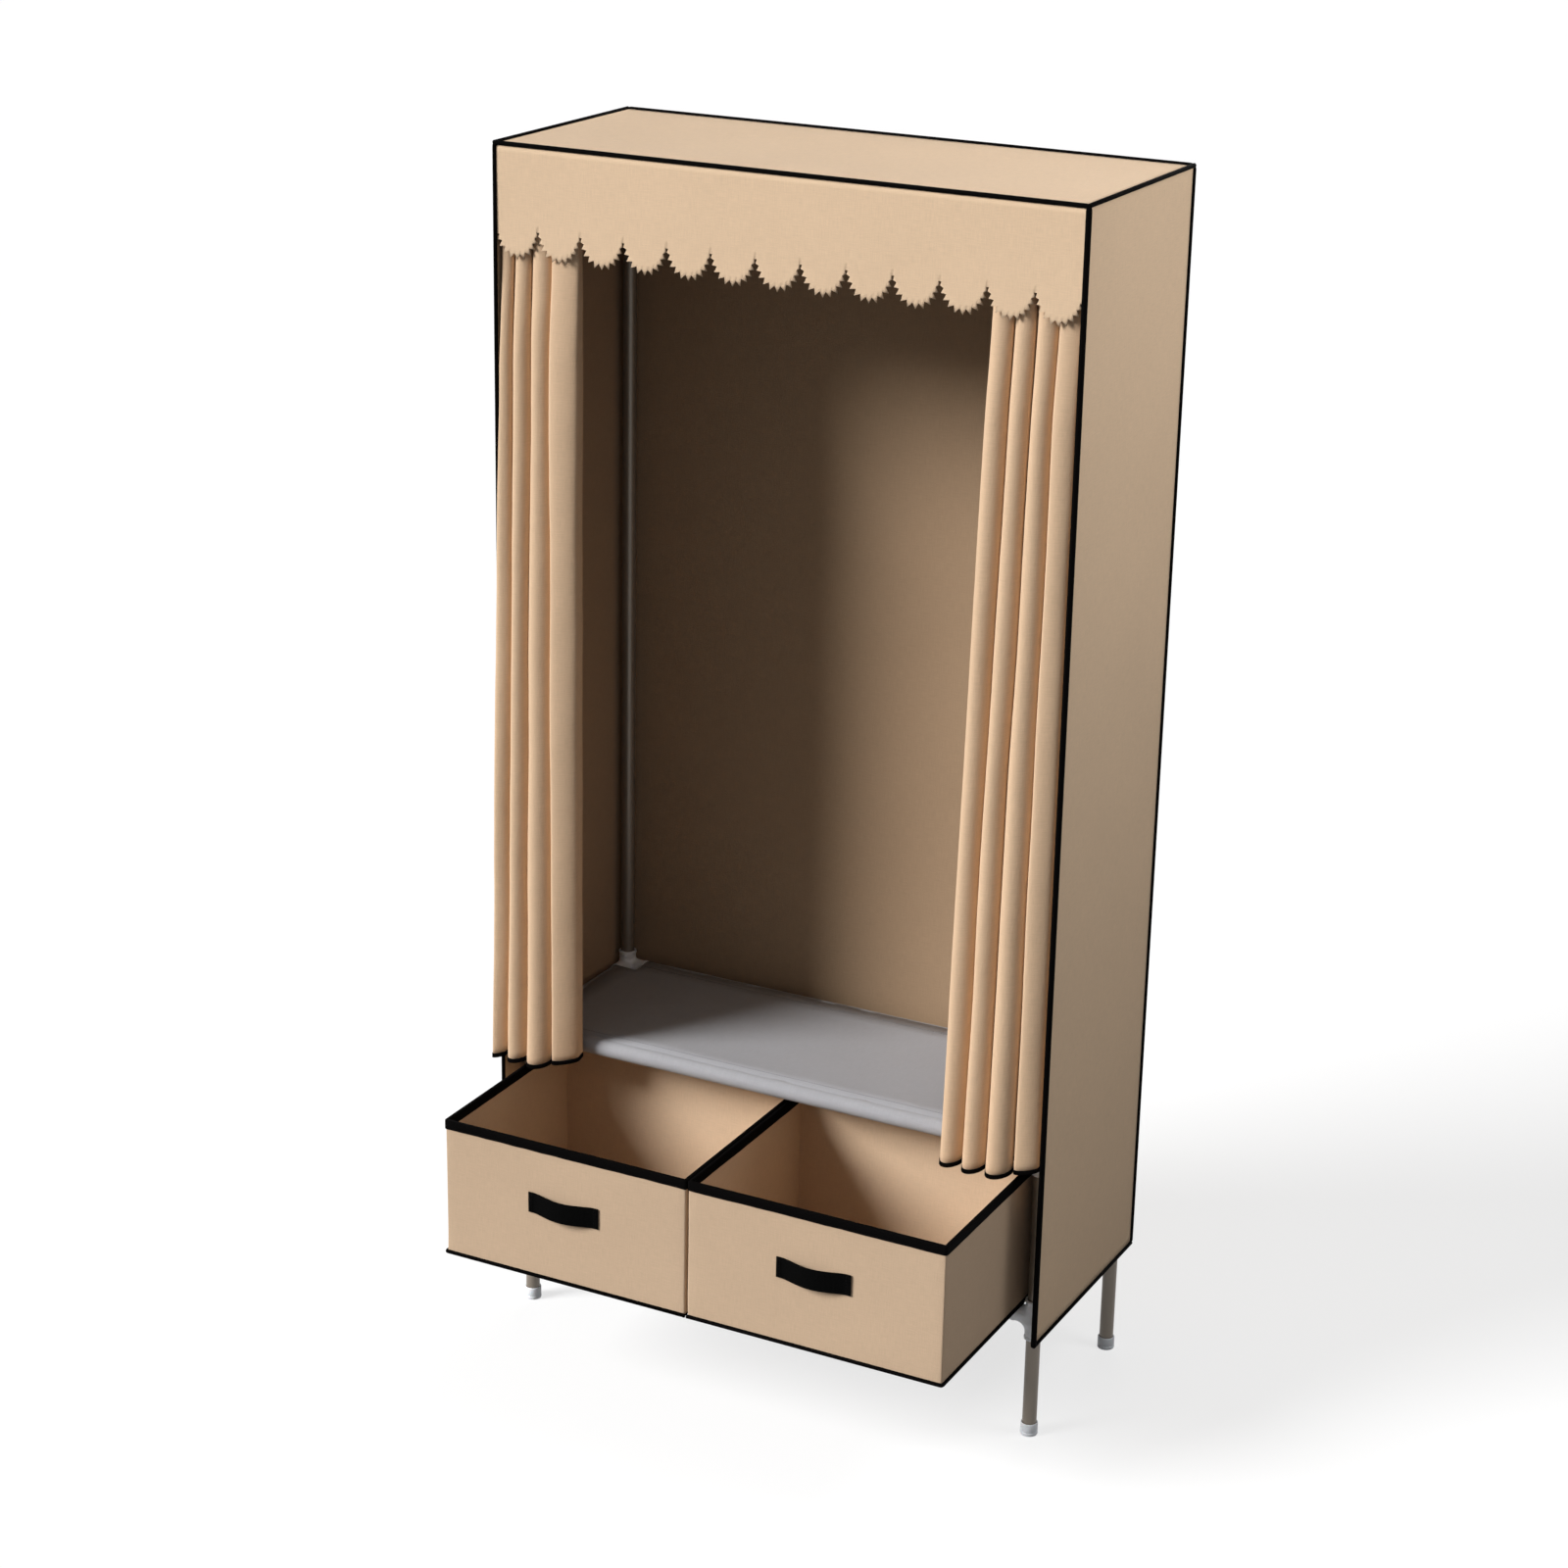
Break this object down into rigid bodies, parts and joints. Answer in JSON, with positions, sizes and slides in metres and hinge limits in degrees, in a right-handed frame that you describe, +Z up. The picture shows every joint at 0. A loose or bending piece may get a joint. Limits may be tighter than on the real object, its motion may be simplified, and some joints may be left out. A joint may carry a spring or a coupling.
{
  "type": "portable fabric wardrobe",
  "caption": "Free-standing tube-frame wardrobe in a piped fabric cover, with a scalloped valance, drawn curtains, a hanging rail, a fabric shelf and pull-out fabric drawers.",
  "frame": {"origin": "centre of the bounding box at the floor, with the drawers pulled out as in the picture", "axes": "+Z up, -Y towards the open front, +X to the right as seen from the front"},
  "size_m": [0.838, 0.575, 1.7],
  "materials": {
    "cover_cloth": "fine woven polyester, matt",
    "drawer_cloth": "non-woven fabric over board, matt",
    "lining_cloth": "non-woven lining over a board, matt",
    "shelf_cloth": "grey non-woven fabric, matt",
    "black_trim": "black piping, binding tape and webbing",
    "steel_tube": "warm grey powder coat, satin",
    "white_plastic": "moulded, slightly glossy"
  },
  "bodies": {
    "root": {"foot_cap_front_left": "white_plastic", "lower_post_front_left": "steel_tube", "upper_post_front_left": "steel_tube", "base_tee_front_left": "white_plastic", "shelf_tee_front_left": "white_plastic", "top_corner_front_left": "white_plastic", "foot_cap_front_right": "white_plastic", "lower_post_front_right": "steel_tube", "upper_post_front_right": "steel_tube", "base_tee_front_right": "white_plastic", "shelf_tee_front_right": "white_plastic", "top_corner_front_right": "white_plastic", "foot_cap_rear_left": "white_plastic", "lower_post_rear_left": "steel_tube", "upper_post_rear_left": "steel_tube", "base_tee_rear_left": "white_plastic", "shelf_tee_rear_left": "white_plastic", "top_corner_rear_left": "white_plastic", "foot_cap_rear_right": "white_plastic", "lower_post_rear_right": "steel_tube", "upper_post_rear_right": "steel_tube", "base_tee_rear_right": "white_plastic", "shelf_tee_rear_right": "white_plastic", "top_corner_rear_right": "white_plastic", "base_rail_front": "steel_tube", "base_rail_rear": "steel_tube", "base_rail_left": "steel_tube", "base_rail_right": "steel_tube", "shelf_rail_front": "steel_tube", "shelf_rail_rear": "steel_tube", "shelf_rail_left": "steel_tube", "shelf_rail_right": "steel_tube", "top_rail_front": "steel_tube", "top_rail_rear": "steel_tube", "top_rail_left": "steel_tube", "top_rail_right": "steel_tube", "hanging_bracket_left": "white_plastic", "hanging_bracket_right": "white_plastic", "hanging_rail": "steel_tube", "curtain_rod": "steel_tube", "shelf_fabric": "shelf_cloth", "base_fabric": "shelf_cloth", "cover_top": "cover_cloth", "cover_back": "cover_cloth", "cover_left": "cover_cloth", "cover_right": "cover_cloth", "valance": "cover_cloth", "cover_piping": "black_trim", "curtain_left": "cover_cloth", "curtain_right": "cover_cloth"},
    "drawer_left": {"drawer_shell_left": "drawer_cloth", "drawer_binding_left": "black_trim", "drawer_board_left": "lining_cloth", "drawer_handle_left": "black_trim"},
    "curtain_lead_left": {"curtain_edge_left": "cover_cloth"},
    "drawer_right": {"drawer_shell_right": "drawer_cloth", "drawer_binding_right": "black_trim", "drawer_board_right": "lining_cloth", "drawer_handle_right": "black_trim"},
    "curtain_lead_right": {"curtain_edge_right": "cover_cloth"}
  },
  "joints": [
    {"name": "drawer_slide_left", "type": "slide", "parent": "root", "child": "drawer_left", "axis": [0, -1, 0], "range_m": [-0.227, 0.04]},
    {"name": "curtain_draw_left", "type": "slide", "parent": "root", "child": "curtain_lead_left", "axis": [1, 0, 0], "range_m": [0, 0.296], "deforming": ["curtain_left"]},
    {"name": "drawer_slide_right", "type": "slide", "parent": "root", "child": "drawer_right", "axis": [0, -1, 0], "range_m": [-0.227, 0.04]},
    {"name": "curtain_draw_right", "type": "slide", "parent": "root", "child": "curtain_lead_right", "axis": [-1, 0, 0], "range_m": [0, 0.272], "deforming": ["curtain_right"]}
  ]
}
